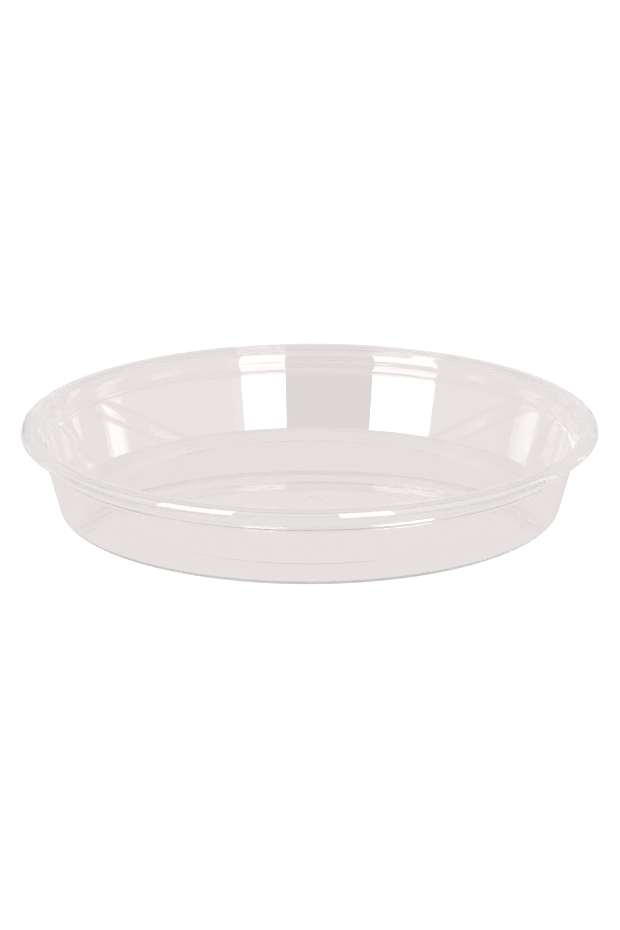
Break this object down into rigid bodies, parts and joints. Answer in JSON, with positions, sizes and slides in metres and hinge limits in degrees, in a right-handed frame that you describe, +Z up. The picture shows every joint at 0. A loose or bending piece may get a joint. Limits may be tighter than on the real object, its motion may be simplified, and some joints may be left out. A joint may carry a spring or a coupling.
{
  "type": "plant saucer",
  "caption": "Round clear plastic saucer that stands under a plant pot and catches its water, with a sloping wall, a stacking step and an outward rolled rim.",
  "frame": {"origin": "centre of the foot's underside, on the surface that the saucer stands on", "axes": "+Z up along the axis of the saucer, +X and +Y level and alike, because the saucer is round"},
  "size_m": [0.21, 0.21, 0.0316],
  "materials": {
    "clear_plastic": "glossy clear moulded plastic"
  },
  "bodies": {
    "root": {"saucer": "clear_plastic"}
  },
  "joints": []
}
